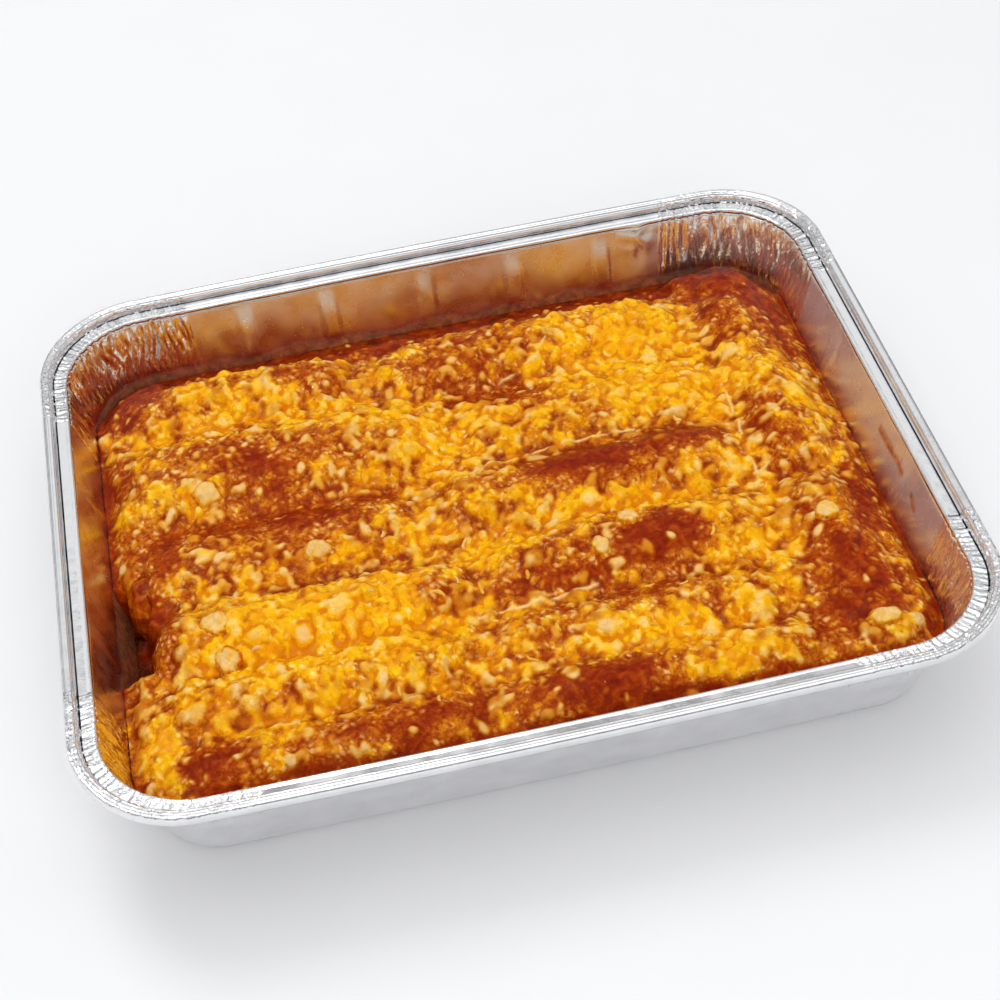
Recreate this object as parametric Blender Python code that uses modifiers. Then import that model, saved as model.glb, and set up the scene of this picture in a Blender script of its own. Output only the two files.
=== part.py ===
# Baked enchiladas in a rolled-rim foil tray: twelve rolls in two columns, two rolls laid crosswise
# at the right wall, the sauce they lie in, and the cheese melted over them.
# The tray stands on z = 0 with its middle on the origin, its long side along X and its back at +Y.
import math

import bmesh
import bpy
from mathutils import Vector, noise
from mathutils.bvhtree import BVHTree

# Tray, in metres
TRAY_LENGTH = 0.3240
TRAY_WIDTH = 0.2640
TRAY_HEIGHT = 0.0556
LONG_SIDE_BOW = 0.0018
FOIL = 0.0006
RIM_WIDTH = 0.0100
RIM_STEP = 0.0042
CURL_WIDTH = 0.0046
CURL_DROP = 0.0046
RIM_CORNER_RADIUS = 0.0410
CORNER_SHRINK = 0.80
WALL_SLOPE = 0.272
BASE_FILLET = 0.0060
CORNER_STEPS = 8
RIB_DEPTH = 0.0009
RIB_WIDTH = 0.0066
RIB_FOOT = 0.0095
RIB_HEAD_BELOW_SHELF = 0.0050
CURL_ROUND = 0.0008
LONG_RIB_PITCH = 0.0383
LONG_RIBS = 5
SHORT_RIB_PITCH = 0.0766
SHORT_RIBS = 2

# Rows of rolls: the lines between neighbours, from the back wall to the front wall
LEFT_LINES = (0.1065, 0.0680, 0.0170, -0.0250, -0.0575, -0.0855, -0.1130)
RIGHT_LINES = (0.1045, 0.0610, 0.0190, -0.0185, -0.0560, -0.0850, -0.1130)
LEFT_STARTS = (-0.1370, -0.1415, -0.1410, -0.1340, -0.1330, -0.1290)
LEFT_ENDS = (-0.0380, -0.0090, -0.0245, -0.0150, -0.0200, -0.0220)
RIGHT_STARTS = (-0.0350, -0.0055, -0.0215, -0.0115, -0.0165, -0.0190)
RIGHT_ENDS = (0.0970, 0.0995, 0.1000, 0.1005, 0.1015, 0.1040)
LEFT_TOPS = (0.0370, 0.0375, 0.0350, 0.0395, 0.0370, 0.0355)
RIGHT_TOPS = (0.0370, 0.0345, 0.0380, 0.0370, 0.0350, 0.0355)
LEFT_TILTS = (-0.0015, -0.0020, 0.0015, -0.0010, 0.0000, 0.0000)
RIGHT_TILTS = (0.0020, 0.0000, 0.0025, 0.0015, -0.0010, 0.0000)
ROLL_GAP = 0.0018
WALL_CLEARANCE = 0.0010
ROLL_FLOOR = 0.0030
SIDE_X = 0.1213
SIDE_HALF_WIDTH = 0.0172
SIDE_BACK = ("back", 0.1120, -0.0180, 0.0390)
SIDE_FRONT = ("front", -0.0200, -0.1095, 0.0380)
SECTION_POWER = 2.3
END_POWER = 8.0
RING_PLACES = (-0.985, -0.93, -0.75, -0.30, 0.30, 0.75, 0.93, 0.985)
RING_SIDES = 12
SWELL = 0.035

# Sauce
SAUCE_LEVEL = 0.0262
SAUCE_RING_HEIGHTS = (0.0014, 0.0030, 0.0070)
TOUCH_GAP = 0.0003
CUT_GAP = 0.0004

# Melted cheese
VALLEY_LEVEL = 0.0290
VALLEY_SOFTNESS = 0.0032
VALLEY_FILL = 0.6
CHEESE_GAP = 0.0005
CHEESE_THIN = 0.0009
CHEESE_THICK = 0.0018
CHEESE_LUMP_SIZE = 0.0125
CHEESE_SWELL_SIZE = 0.0350
CHEESE_LUMPS = 0.75
CHEESE_SWELLS = 0.40
CHEESE_COLUMNS = 35
CHEESE_ROWS = 31
CELL_CHECKS = 6
DRAPE_PASSES = 6
DRAPE_LIFT = 0.5
LUMP_GAP = 0.0008
LUMP_SIDES = 10
LUMP_CROWN = 0.45
LUMP_EDGE = 0.25

# Outline of the cheese: each step is a depth, and the two places between which it comes in
FRONT_EDGE = -0.1120
BACK_EDGE = 0.0960
BACK_WAVE = 0.0030
BACK_WAVE_SIZE = 0.0300
BACK_NOTCH = 0.0060
BACK_NOTCH_X = -0.0360
BACK_NOTCH_SIZE = 0.0180
LEFT_EDGE = -0.1325
LEFT_WAVE = 0.0060
LEFT_WAVE_SIZE = 0.0220
LEFT_STEPS = ((0.0260, 0.0760, 0.1000), (-0.0040, -0.0500, -0.0700), (0.0090, -0.0900, -0.1120))
RIGHT_EDGE = 0.1010
RIGHT_STEPS = (
    (0.0230, 0.0960, 0.0700),
    (0.0110, 0.0500, 0.0280),
    (-0.0080, -0.0100, -0.0320),
    (-0.0210, -0.0560, -0.0800),
)

# Lumps of cheese as large as berries: place on the cheese, half width, half depth, height
LUMPS = (
    (-0.1080, -0.0420, 0.0070, 0.0062, 0.0034),
    (-0.1060, -0.0560, 0.0056, 0.0064, 0.0030),
    (-0.1040, 0.0270, 0.0068, 0.0064, 0.0034),
    (-0.0670, -0.0120, 0.0070, 0.0058, 0.0030),
    (0.0470, -0.0290, 0.0052, 0.0060, 0.0030),
    (0.0340, -0.0410, 0.0045, 0.0060, 0.0026),
    (0.1170, -0.0470, 0.0060, 0.0052, 0.0030),
    (0.1210, -0.0970, 0.0080, 0.0048, 0.0036),
)


def start_empty():
    for thing in list(bpy.data.objects):
        bpy.data.objects.remove(thing, do_unlink=True)


def make_collection(name):
    collection = bpy.data.collections.new(name)
    bpy.context.scene.collection.children.link(collection)
    return collection


def make_material(name, colour, roughness, metallic):
    material = bpy.data.materials.new(name)
    material.use_nodes = True
    shader = material.node_tree.nodes["Principled BSDF"]
    shader.inputs["Base Color"].default_value = (*colour, 1.0)
    shader.inputs["Roughness"].default_value = roughness
    shader.inputs["Metallic"].default_value = metallic
    return material


def add_object(name, bm, collection, material=None, smooth_angle=None):
    bmesh.ops.recalc_face_normals(bm, faces=bm.faces)
    mesh = bpy.data.meshes.new(name)
    bm.to_mesh(mesh)
    bm.free()
    if smooth_angle is not None:
        mesh.shade_smooth()
        mesh.set_sharp_from_angle(angle=math.radians(smooth_angle))
    made = bpy.data.objects.new(name, mesh)
    if material:
        mesh.materials.append(material)
    collection.objects.link(made)
    return made


def loft(rings, cap_start=True, cap_end=True):
    """Join closed rings of points, each with the same count, into a skin."""
    bm = bmesh.new()
    rows = [[bm.verts.new(point) for point in ring] for ring in rings]
    for lower, upper in zip(rows, rows[1:]):
        for i, vert in enumerate(lower):
            j = (i + 1) % len(lower)
            bm.faces.new((vert, lower[j], upper[j], upper[i]))
    if cap_start:
        bm.faces.new(rows[0][::-1])
    if cap_end:
        bm.faces.new(rows[-1])
    return bm


def clamp(value, low, high):
    return max(low, min(high, value))


def smooth_step(low, high, value):
    """Rise from 0 at the first value to 1 at the second, which may be the lower one."""
    t = clamp((value - low) / (high - low), 0.0, 1.0)
    return t * t * (3.0 - 2.0 * t)


def side_bow(x):
    return LONG_SIDE_BOW * max(0.0, 1.0 - (2.0 * x / TRAY_LENGTH) ** 2)


def corner_radius(inset):
    return RIM_CORNER_RADIUS - CORNER_SHRINK * inset


def wall_inset(z):
    """How far the food side of the wall lies inside the rim's outer edge at a height."""
    shelf = TRAY_HEIGHT - RIM_STEP
    inset = RIM_WIDTH + WALL_SLOPE * (shelf - z)
    rise = z - FOIL
    if rise < BASE_FILLET:
        inset += BASE_FILLET - math.sqrt(BASE_FILLET ** 2 - (BASE_FILLET - max(rise, 0.0)) ** 2)
    return inset


def rib_offsets(count, pitch):
    return [(i - (count - 1) / 2.0) * pitch for i in range(count)]


def side_stations(count, pitch):
    """Places along one straight side: three for each rib, its two edges and its ridge."""
    stations = []
    for centre in rib_offsets(count, pitch):
        stations += [(centre - RIB_WIDTH / 2.0, 0.0), (centre, 1.0), (centre + RIB_WIDTH / 2.0, 0.0)]
    return stations


def outline(inset, rib=0.0):
    """Closed rounded rectangle at an inset, ribs pushed inwards by rib times their depth."""
    half_x = TRAY_LENGTH / 2.0 - inset
    half_y = TRAY_WIDTH / 2.0 - inset
    radius = corner_radius(inset)
    points = []
    sides = (
        (0, LONG_RIBS, LONG_RIB_PITCH, half_y),
        (1, SHORT_RIBS, SHORT_RIB_PITCH, half_x),
        (2, LONG_RIBS, LONG_RIB_PITCH, half_y),
        (3, SHORT_RIBS, SHORT_RIB_PITCH, half_x),
    )
    corners = ((1, -1, -90.0), (1, 1, 0.0), (-1, 1, 90.0), (-1, -1, 180.0))
    for (turn, count, pitch, reach), (sx, sy, first) in zip(sides, corners):
        for along, ridge in side_stations(count, pitch):
            depth = reach - rib * ridge * RIB_DEPTH
            place = ((along, -depth), (depth, along), (-along, depth), (-depth, -along))[turn]
            points.append(place)
        for step in range(CORNER_STEPS + 1):
            angle = math.radians(first + 90.0 * step / CORNER_STEPS)
            x = sx * (half_x - radius) + radius * math.cos(angle)
            y = sy * (half_y - radius) + radius * math.sin(angle)
            points.append((x, y))
    return [(x, y + math.copysign(side_bow(x), y)) for x, y in points]


def ring(inset, z, rib=0.0):
    return [(x, y, z) for x, y in outline(inset, rib)]


def keep_inside(x, y, z, clearance):
    """Pull a point back inside the tray's wall at its height."""
    inset = wall_inset(z) + clearance
    half_x = TRAY_LENGTH / 2.0 - inset - RIB_DEPTH
    half_y = TRAY_WIDTH / 2.0 - inset - RIB_DEPTH
    radius = corner_radius(inset)
    x = clamp(x, -half_x, half_x)
    y = clamp(y, -half_y, half_y)
    dx = abs(x) - (half_x - radius)
    dy = abs(y) - (half_y - radius)
    reach = math.hypot(dx, dy)
    if dx > 0.0 and dy > 0.0 and reach > radius:
        x = math.copysign(half_x - radius + dx * radius / reach, x)
        y = math.copysign(half_y - radius + dy * radius / reach, y)
    return x, y


def fillet_rows():
    """Base edge, middle and end of the fillet between base and wall."""
    slope = math.atan(WALL_SLOPE)
    tangent = BASE_FILLET * math.tan((math.pi / 2.0 - slope) / 2.0)
    foot = RIM_WIDTH + WALL_SLOPE * (TRAY_HEIGHT - RIM_STEP - FOIL)
    middle = (math.pi / 2.0 + slope) / 2.0
    return (
        (foot + tangent, FOIL),
        (foot + tangent - BASE_FILLET * math.cos(middle), FOIL + BASE_FILLET * (1.0 - math.sin(middle))),
        (foot - WALL_SLOPE * tangent * math.cos(slope), FOIL + tangent * math.cos(slope)),
    )


def make_tray(collection, material):
    shelf = TRAY_HEIGHT - RIM_STEP
    rib_head = shelf - RIB_HEAD_BELOW_SHELF
    rows = [(inset, z, 0.0) for inset, z in fillet_rows()]
    rows += [
        (wall_inset(RIB_FOOT), RIB_FOOT, 1.0),
        (wall_inset(rib_head), rib_head, 1.0),
        (RIM_WIDTH, shelf, 0.0),
        (CURL_WIDTH + CURL_ROUND / 2.0, shelf, 0.0),
        (CURL_WIDTH, TRAY_HEIGHT - CURL_ROUND / 2.0, 0.0),
        (CURL_WIDTH / 2.0, TRAY_HEIGHT, 0.0),
        (CURL_ROUND / 2.0, TRAY_HEIGHT - CURL_ROUND, 0.0),
        (0.0, TRAY_HEIGHT - CURL_DROP, 0.0),
    ]
    bm = loft([ring(*row) for row in rows], cap_start=True, cap_end=False)
    tray = add_object("tray", bm, collection, material, smooth_angle=35.0)
    solid = tray.modifiers.new("foil thickness", "SOLIDIFY")
    solid.thickness = FOIL
    solid.offset = -1.0 if base_normal(tray) > 0.0 else 1.0
    solid.use_even_offset = True
    return tray


def base_normal(tray):
    """Upward or downward sense of the largest face, which is the base."""
    largest = max(tray.data.polygons, key=lambda face: face.area)
    return largest.normal.z


class Roll:
    """One enchilada: a soft rounded body along an axis, flat at its ends."""

    def __init__(self, name, start, end, half_width, top, phase):
        self.name = name
        self.start = Vector(start)
        self.end = Vector(end)
        self.axis = (self.end - self.start).normalized()
        self.across = Vector((-self.axis.y, self.axis.x))
        self.middle = (self.start + self.end) / 2.0
        self.half_length = (self.end - self.start).length / 2.0
        self.half_width = half_width
        self.half_height = (top - ROLL_FLOOR) / 2.0
        self.level = (top + ROLL_FLOOR) / 2.0
        self.phase = phase

    def swell(self, u):
        return 1.0 - SWELL * (0.5 + 0.5 * math.sin(4.0 * u + self.phase))

    def local(self, x, y):
        offset = Vector((x, y)) - self.middle
        return offset.dot(self.axis) / self.half_length, offset.dot(self.across)

    def height(self, x, y):
        """Height of the roll's top at a place, or None outside it."""
        u, t = self.local(x, y)
        if abs(u) >= 1.0:
            return None
        swell = self.swell(u)
        rest = 1.0 - abs(u) ** END_POWER - abs(t / (self.half_width * swell)) ** SECTION_POWER
        if rest <= 0.0:
            return None
        return self.level + self.half_height * swell * rest ** (1.0 / SECTION_POWER)

    def ring(self, u, grow, clearance):
        scale = (1.0 - abs(u) ** END_POWER) ** (1.0 / SECTION_POWER)
        centre = self.middle + self.axis * (u * (self.half_length + grow))
        swell = self.swell(u)
        wide = self.half_width * swell * scale + grow
        high = self.half_height * swell * scale + grow
        points = []
        for side in range(RING_SIDES):
            angle = 2.0 * math.pi * side / RING_SIDES
            c = math.cos(angle)
            s = math.sin(angle)
            t = math.copysign(abs(c) ** (2.0 / SECTION_POWER), c) * wide
            z = self.level + math.copysign(abs(s) ** (2.0 / SECTION_POWER), s) * high
            place = centre + self.across * t
            x, y = keep_inside(place.x, place.y, z, clearance)
            points.append((x, y, z))
        return points

    def body(self, grow=0.0, clearance=WALL_CLEARANCE):
        return loft([self.ring(u, grow, clearance) for u in RING_PLACES])


def row_rolls(side, lines, starts, ends, tops, tilts):
    rolls = []
    for i, top in enumerate(tops):
        middle = (lines[i] + lines[i + 1]) / 2.0
        half_width = (lines[i] - lines[i + 1] - ROLL_GAP) / 2.0 - abs(tilts[i]) / 2.0
        start = (starts[i], middle - tilts[i] / 2.0)
        end = (ends[i], middle + tilts[i] / 2.0)
        rolls.append(Roll(f"enchilada_{side}_{i + 1}", start, end, half_width, top, 1.7 * i + len(side)))
    return rolls


def all_rolls():
    rolls = row_rolls("left", LEFT_LINES, LEFT_STARTS, LEFT_ENDS, LEFT_TOPS, LEFT_TILTS)
    rolls += row_rolls("right", RIGHT_LINES, RIGHT_STARTS, RIGHT_ENDS, RIGHT_TOPS, RIGHT_TILTS)
    for place, back, front, top in (SIDE_BACK, SIDE_FRONT):
        rolls.append(Roll(f"enchilada_side_{place}", (SIDE_X, back), (SIDE_X, front), SIDE_HALF_WIDTH, top, 0.8))
    return rolls


def make_sauce(collection, cutters, rolls, material):
    """The sauce fills the tray up to its level, with room for each roll."""
    grow = TOUCH_GAP + RIB_DEPTH
    heights = (FOIL + TOUCH_GAP, *SAUCE_RING_HEIGHTS, SAUCE_LEVEL)
    rings = [ring(wall_inset(z) + grow, z) for z in heights]
    sauce = add_object("sauce", loft(rings), collection, material, smooth_angle=35.0)
    for roll in rolls:
        cutter = add_object(f"room_for_{roll.name}", roll.body(CUT_GAP, WALL_CLEARANCE - 2.0 * CUT_GAP), cutters)
        cutter.display_type = "WIRE"
        cutter.hide_render = True
    cut = sauce.modifiers.new("room for the rolls", "BOOLEAN")
    cut.operation = "DIFFERENCE"
    cut.operand_type = "COLLECTION"
    cut.collection = cutters
    cut.solver = "EXACT"
    return sauce


def draped_height(rolls, x, y):
    """A soft skin over the rolls that sinks between them to the valley level."""
    heights = [VALLEY_LEVEL]
    heights += [z for z in (roll.height(x, y) for roll in rolls) if z is not None]
    top = max(heights)
    total = sum(math.exp((z - top) / VALLEY_SOFTNESS) for z in heights)
    return top + VALLEY_SOFTNESS * math.log(total) * VALLEY_FILL


def wave(x, y, size, seed):
    return noise.noise(Vector((x / size, y / size, seed)))


def stepped(edge, steps, y):
    return edge + sum(depth * smooth_step(first, last, y) for depth, first, last in steps)


def cheese_left(y):
    return stepped(LEFT_EDGE, LEFT_STEPS, y) + LEFT_WAVE * wave(0.0, y, LEFT_WAVE_SIZE, 3.1)


def cheese_right(y):
    return stepped(RIGHT_EDGE, RIGHT_STEPS, y)


def cheese_back(x):
    notch = BACK_NOTCH * math.exp(-((x - BACK_NOTCH_X) / BACK_NOTCH_SIZE) ** 2)
    return BACK_EDGE + BACK_WAVE * wave(x, 0.0, BACK_WAVE_SIZE, 8.4) - notch


def cheese_thickness(x, y, rim):
    """Thickness at a place that lies rim cells inside the sheet's edge."""
    lumps = CHEESE_LUMPS * wave(x, y, CHEESE_LUMP_SIZE, 5.0)
    swells = CHEESE_SWELLS * wave(x, y, CHEESE_SWELL_SIZE, 9.0)
    return CHEESE_THIN + CHEESE_THICK * (1.0 + lumps + swells) * min(1.0, rim / 2.0)


def make_cheese(collection, rolls, material):
    """One draped sheet, thicker where the shreds melted together."""
    grid = []
    for i in range(CHEESE_COLUMNS + 1):
        u = i / CHEESE_COLUMNS
        column = []
        for j in range(CHEESE_ROWS + 1):
            v = j / CHEESE_ROWS
            back = cheese_back(LEFT_EDGE + (RIGHT_EDGE - LEFT_EDGE) * u)
            y = FRONT_EDGE + (back - FRONT_EDGE) * v
            left = cheese_left(y)
            x = left + (cheese_right(y) - left) * u
            column.append([x, y, draped_height(rolls, x, y) + CHEESE_GAP])
        grid.append(column)
    for _ in range(DRAPE_PASSES):
        lift_off_rolls(grid, rolls)
    bm = bmesh.new()
    under = [[bm.verts.new(point) for point in column] for column in grid]
    over = []
    for i, column in enumerate(grid):
        rim_i = min(i, CHEESE_COLUMNS - i)
        row = []
        for j, (x, y, z) in enumerate(column):
            rim = min(rim_i, j, CHEESE_ROWS - j)
            row.append(bm.verts.new((x, y, z + cheese_thickness(x, y, rim))))
        over.append(row)
    for i in range(CHEESE_COLUMNS):
        for j in range(CHEESE_ROWS):
            for triangle in cell_triangles(i, j):
                bm.faces.new([over[column][row] for column, row in triangle])
                bm.faces.new([under[column][row] for column, row in reversed(triangle)])
    border = [(i, 0) for i in range(CHEESE_COLUMNS)]
    border += [(CHEESE_COLUMNS, j) for j in range(CHEESE_ROWS)]
    border += [(i, CHEESE_ROWS) for i in range(CHEESE_COLUMNS, 0, -1)]
    border += [(0, j) for j in range(CHEESE_ROWS, 0, -1)]
    for (i, j), (k, m) in zip(border, border[1:] + border[:1]):
        bm.faces.new((under[i][j], under[k][m], over[k][m], over[i][j]))
    return add_object("cheese", bm, collection, material, smooth_angle=60.0)


def cell_triangles(i, j):
    """The two triangles of a grid cell, each as three (column, row) pairs."""
    return (
        ((i, j), (i + 1, j), (i + 1, j + 1)),
        ((i, j), (i + 1, j + 1), (i, j + 1)),
    )


def lift_off_rolls(grid, rolls):
    """Raise the sheet's underside wherever a flat triangle would cut into a roll."""
    shares = [k / CELL_CHECKS for k in range(CELL_CHECKS + 1)]
    spots = [(a, b, 1.0 - a - b) for a in shares for b in shares if a + b <= 1.0]
    for i in range(CHEESE_COLUMNS):
        for j in range(CHEESE_ROWS):
            for triangle in cell_triangles(i, j):
                corners = [grid[column][row] for column, row in triangle]
                lack = 0.0
                for weights in spots:
                    x, y, z = (sum(w * c[k] for w, c in zip(weights, corners)) for k in range(3))
                    tops = [roll.height(x, y) for roll in rolls]
                    highest = max((top for top in tops if top is not None), default=0.0)
                    lack = max(lack, highest + CHEESE_GAP - z)
                for corner in corners:
                    corner[2] += DRAPE_LIFT * lack


def search_tree(carrier):
    bm = bmesh.new()
    bm.from_mesh(carrier.data)
    tree = BVHTree.FromBMesh(bm)
    bm.free()
    return tree


def make_lumps(collection, carriers, material):
    """Thick lumps that lie on the cheese or a bare roll, their undersides following it."""
    trees = [search_tree(carrier) for carrier in carriers]

    def under(x, y):
        hits = [tree.ray_cast(Vector((x, y, 1.0)), Vector((0.0, 0.0, -1.0)))[0] for tree in trees]
        return max(hit.z for hit in hits if hit) + LUMP_GAP

    for n, (x0, y0, wide, deep, high) in enumerate(LUMPS, start=1):
        low = []
        for share in (LUMP_CROWN, 1.0):
            angles = [2.0 * math.pi * k / LUMP_SIDES for k in range(LUMP_SIDES)]
            places = [(x0 + share * wide * math.cos(a), y0 + share * deep * math.sin(a)) for a in angles]
            low.append([(x, y, under(x, y)) for x, y in places])
        edge = [(x, y, z + LUMP_EDGE * high) for x, y, z in low[1]]
        top = [(x, y, z + high) for x, y, z in low[0]]
        skin = loft([low[0], low[1], edge, top])
        add_object(f"cheese_lump_{n}", skin, collection, material, smooth_angle=60.0)


def main():
    start_empty()
    dish = make_collection("enchiladas")
    cutters = make_collection("cutters")
    foil = make_material("foil", (0.84, 0.84, 0.85), 0.25, 1.0)
    sauce_red = make_material("sauce", (0.22, 0.022, 0.003), 0.25, 0.0)
    tortilla = make_material("sauced_tortilla", (0.36, 0.055, 0.006), 0.40, 0.0)
    melted = make_material("melted_cheese", (0.86, 0.36, 0.035), 0.40, 0.0)
    pale = make_material("pale_cheese", (0.90, 0.62, 0.28), 0.45, 0.0)
    rolls = all_rolls()
    make_tray(dish, foil)
    carriers = [add_object(roll.name, roll.body(), dish, tortilla, smooth_angle=50.0) for roll in rolls]
    make_sauce(dish, cutters, rolls, sauce_red)
    carriers.append(make_cheese(dish, rolls, melted))
    make_lumps(dish, carriers, pale)


main()
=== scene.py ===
"""Looks of the baked enchiladas in their foil tray. Lengths are in millimetres until a piece is made."""

import math

import bpy
import numpy as np
from mathutils import Matrix, Vector
from mathutils.bvhtree import BVHTree

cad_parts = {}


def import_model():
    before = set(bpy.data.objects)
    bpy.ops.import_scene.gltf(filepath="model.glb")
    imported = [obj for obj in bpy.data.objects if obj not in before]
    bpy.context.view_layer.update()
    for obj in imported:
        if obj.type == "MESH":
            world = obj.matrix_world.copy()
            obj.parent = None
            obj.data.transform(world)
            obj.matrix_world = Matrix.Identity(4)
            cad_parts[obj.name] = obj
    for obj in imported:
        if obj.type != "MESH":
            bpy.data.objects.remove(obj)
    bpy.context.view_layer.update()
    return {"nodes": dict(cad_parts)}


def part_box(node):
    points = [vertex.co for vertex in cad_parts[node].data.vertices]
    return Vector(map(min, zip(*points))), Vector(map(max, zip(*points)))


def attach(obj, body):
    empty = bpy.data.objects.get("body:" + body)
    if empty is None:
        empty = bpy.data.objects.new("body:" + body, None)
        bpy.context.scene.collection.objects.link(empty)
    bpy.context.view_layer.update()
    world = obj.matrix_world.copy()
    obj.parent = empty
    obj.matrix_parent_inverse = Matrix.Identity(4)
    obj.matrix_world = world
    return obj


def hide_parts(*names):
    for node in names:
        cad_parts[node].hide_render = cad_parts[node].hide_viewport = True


METRES = 0.001

# Noise: cells before it repeats, and the gain that brings it to about -1 to 1
CELLS = 256
NOISE_GAIN = 1.6

# Tray
TRAY_LENGTH = 324.0
TRAY_WIDTH = 264.0
TRAY_HEIGHT = 55.6
LONG_SIDE_BOW = 1.8
RIM_WIDTH = 10.0
RIM_STEP = 4.2
SHELF = TRAY_HEIGHT - RIM_STEP
RIM_CORNER_RADIUS = 41.0
CORNER_SHRINK = 0.80
WALL_SLOPE = 0.272
FILLET_FOOT = 0.6
BASE_FILLET = 6.0
SHEET = 0.15

# Foil relief: pleats in the corners, and dents, ribs and one crumple on the straight sides
PLEAT_DEPTH = 0.78
FINE_PLEAT_DEPTH = 0.42
PLEAT_WANDER = 0.25
DENT_DEPTH = 0.42
SMALL_DENT_DEPTH = 0.12
LONG_RIBS = (-77.0, -42.0, 0.0, 37.5, 76.0)
SHORT_RIBS = (-38.0, 38.0)
RIB_DEPTH = 0.85
RIB_FOOT = 3.9
RIB_TOP = 2.9
CRUMPLE_DEPTH = 1.6
CRUMPLE_X = 92.0
CRUMPLE_Z = 45.0

# Rolled edge: inset of its middle, drop below the top, size across and upwards, and its three grooves
CURL_INSET = 2.33
CURL_DROP = 2.05
CURL_ACROSS = 2.12
CURL_RISE = 1.86
CURL_FROM = 4.6
CURL_ANGLES = (172, 160, 150, 142, 134, 122, 110, 102, 94, 80, 68, 60, 52, 40, 26, 10, -6, -22)
GROOVE_ANGLES = (142, 102, 60)
GROOVE = 0.30
ROOM_ABOVE = 0.20
ROOM_OUTSIDE = 0.21

# Spacing of the points round the tray, and rows of points up its walls
PLEATED_REACH = 21.0
FINE_STEP = 0.43
PLAIN_STEP = 0.92
BASE_Z = 0.35
BASE_ROWS = (60.0, 35.0, 14.0, 5.0, 1.0)
FILLET_ANGLES = (10.0, 32.0, 55.0, 75.0)
WALL_ROWS = 25

# Marks on the walls: strength of the oily film, and two runs of sauce on the right wall as start and end
# (y, height) and half width
FILM_STRENGTH = 0.75
RUN_STRENGTH = 0.9
RUNS = (((-13.5, 42.7), (-37.0, 41.8), 1.1), ((-47.6, 39.5), (-53.0, 38.0), 0.9))

# Food surface
STEP = 0.60
HALF_X = 149.4
HALF_Y = 120.0
SAUCE_LEVEL = 26.2
BACK_DROP = 3.2
GAP_EDGE = -133.5
GAP_HEIGHT = 10.5
COLUMN_EDGE = -14.0
WALL_GAP = 0.12
TUCK = 0.5

# How cheesy each part of the surface is: place, half length, half width, turn in degrees, amount
PATCHES = (
    (72, 70, 34, 28, -5, 1.0),
    (72, 36, 42, 12, 0, 0.85),
    (-92, 84, 30, 15, 8, 0.38),
    (-128, 84, 12, 9, 0, -0.9),
    (-108, 70, 30, 7, 5, 0.42),
    (-45, 55, 34, 12, -10, 0.7),
    (-12, 30, 15, 18, 0, 0.9),
    (-130, 32, 11, 7, -10, 0.9),
    (-104, 27, 9, 8, 0, 0.7),
    (-68, -50, 46, 27, -5, 1.2),
    (2, -27, 17, 8, 10, 1.0),
    (50, -17, 30, 6, -8, 0.8),
    (95, 8, 8, 30, 0, 0.6),
    (45, -81, 28, 6, -3, 1.1),
    (64, -99, 18, 10, 0, 0.9),
    (130, 15, 5, 27, 8, 0.9),
    (84, -50, 16, 25, 0, 0.6),
    (-26, -8, 8, 13, 0, 0.5),
    (-133, -86, 6, 17, 0, 0.9),
    (-105, -92, 18, 8, 0, 0.5),
    (130, -103, 11, 6, 0, 0.9),
    (112, 20, 9, 36, 0, 0.35),
    (-76, 10, 34, 9, -3, -1.15),
    (-86, 32, 16, 7, 0, -0.7),
    (-78, -6, 26, 7, 0, -0.6),
    (40, 5, 21, 10, -8, -1.7),
    (84, 8, 12, 6, -10, -1.0),
    (58, -41, 16, 9, -8, -2.0),
    (-80, 42, 30, 11, 0, -0.6),
    (-125, 8, 14, 13, 0, -0.7),
    (-116, -99, 12, 11, 0, -1.4),
    (-45, -98, 30, 8, 0, -0.95),
    (23, -102, 20, 9, -6, -1.8),
    (120, -78, 12, 22, 0, -1.5),
    (135, -35, 6, 20, 0, -1.2),
    (122, 98, 20, 22, 0, -1.6),
    (134, 62, 8, 26, 0, -1.0),
    (-126, 98, 15, 9, 20, -1.2),
    (-139, 48, 8, 14, 0, -0.9),
    (5, 67, 16, 9, 0, -0.7),
    (50, 33, 11, 5, 0, -0.8),
    (72, 9, 20, 10, -20, -0.7),
    (15, -45, 30, 9, 0, -0.6),
    (45, -62, 42, 6, 0, -0.5),
    (-62, -27, 30, 6, -4, -0.8),
    (21, 52, 14, 7, -5, -0.9),
    (106, 8, 6, 9, 0, -0.7),
    (108, 66, 8, 14, 10, -0.6),
    (-27, -45, 9, 6, -20, -0.8),
    (-130, -30, 8, 24, 0, -1.1),
    (101, -96, 8, 10, 0, -0.8),
    (-58, 86, 13, 8, -30, -0.4),
    (22, 88, 22, 8, 10, -0.5),
    (112, -8, 8, 40, 0, -0.35),
)
COVER = 0.49
CHEESE_GAIN = 0.82

# Bits of cheese, from large to small: spacing, chance where the cover is bare, mixed and thick, range of half
# widths, stretch, range of heights, steepness, seed
BITS = (
    (11.0, (0.05, 0.45, 0.45), (2.4, 4.6), 1.7, (1.1, 2.0), 1.2, 101),
    (4.8, (0.08, 0.80, 0.36), (1.4, 2.6), 1.9, (0.7, 1.5), 1.0, 102),
    (3.0, (0.10, 0.34, 0.10), (0.9, 1.5), 2.2, (0.35, 0.8), 1.0, 103),
)

# Thick lumps and loose shreds of cheese
LUMPS = 8
LUMP_RINGS = 22
LUMP_SIDES = 64
LUMP_HEIGHT = 3.4
LUMP_AMOUNT = 0.58
SHRED_PITCH = 10.5
SHRED_SIDES = 6
SHRED_JOINTS = 9
SHRED_AMOUNT = 0.6

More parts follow.
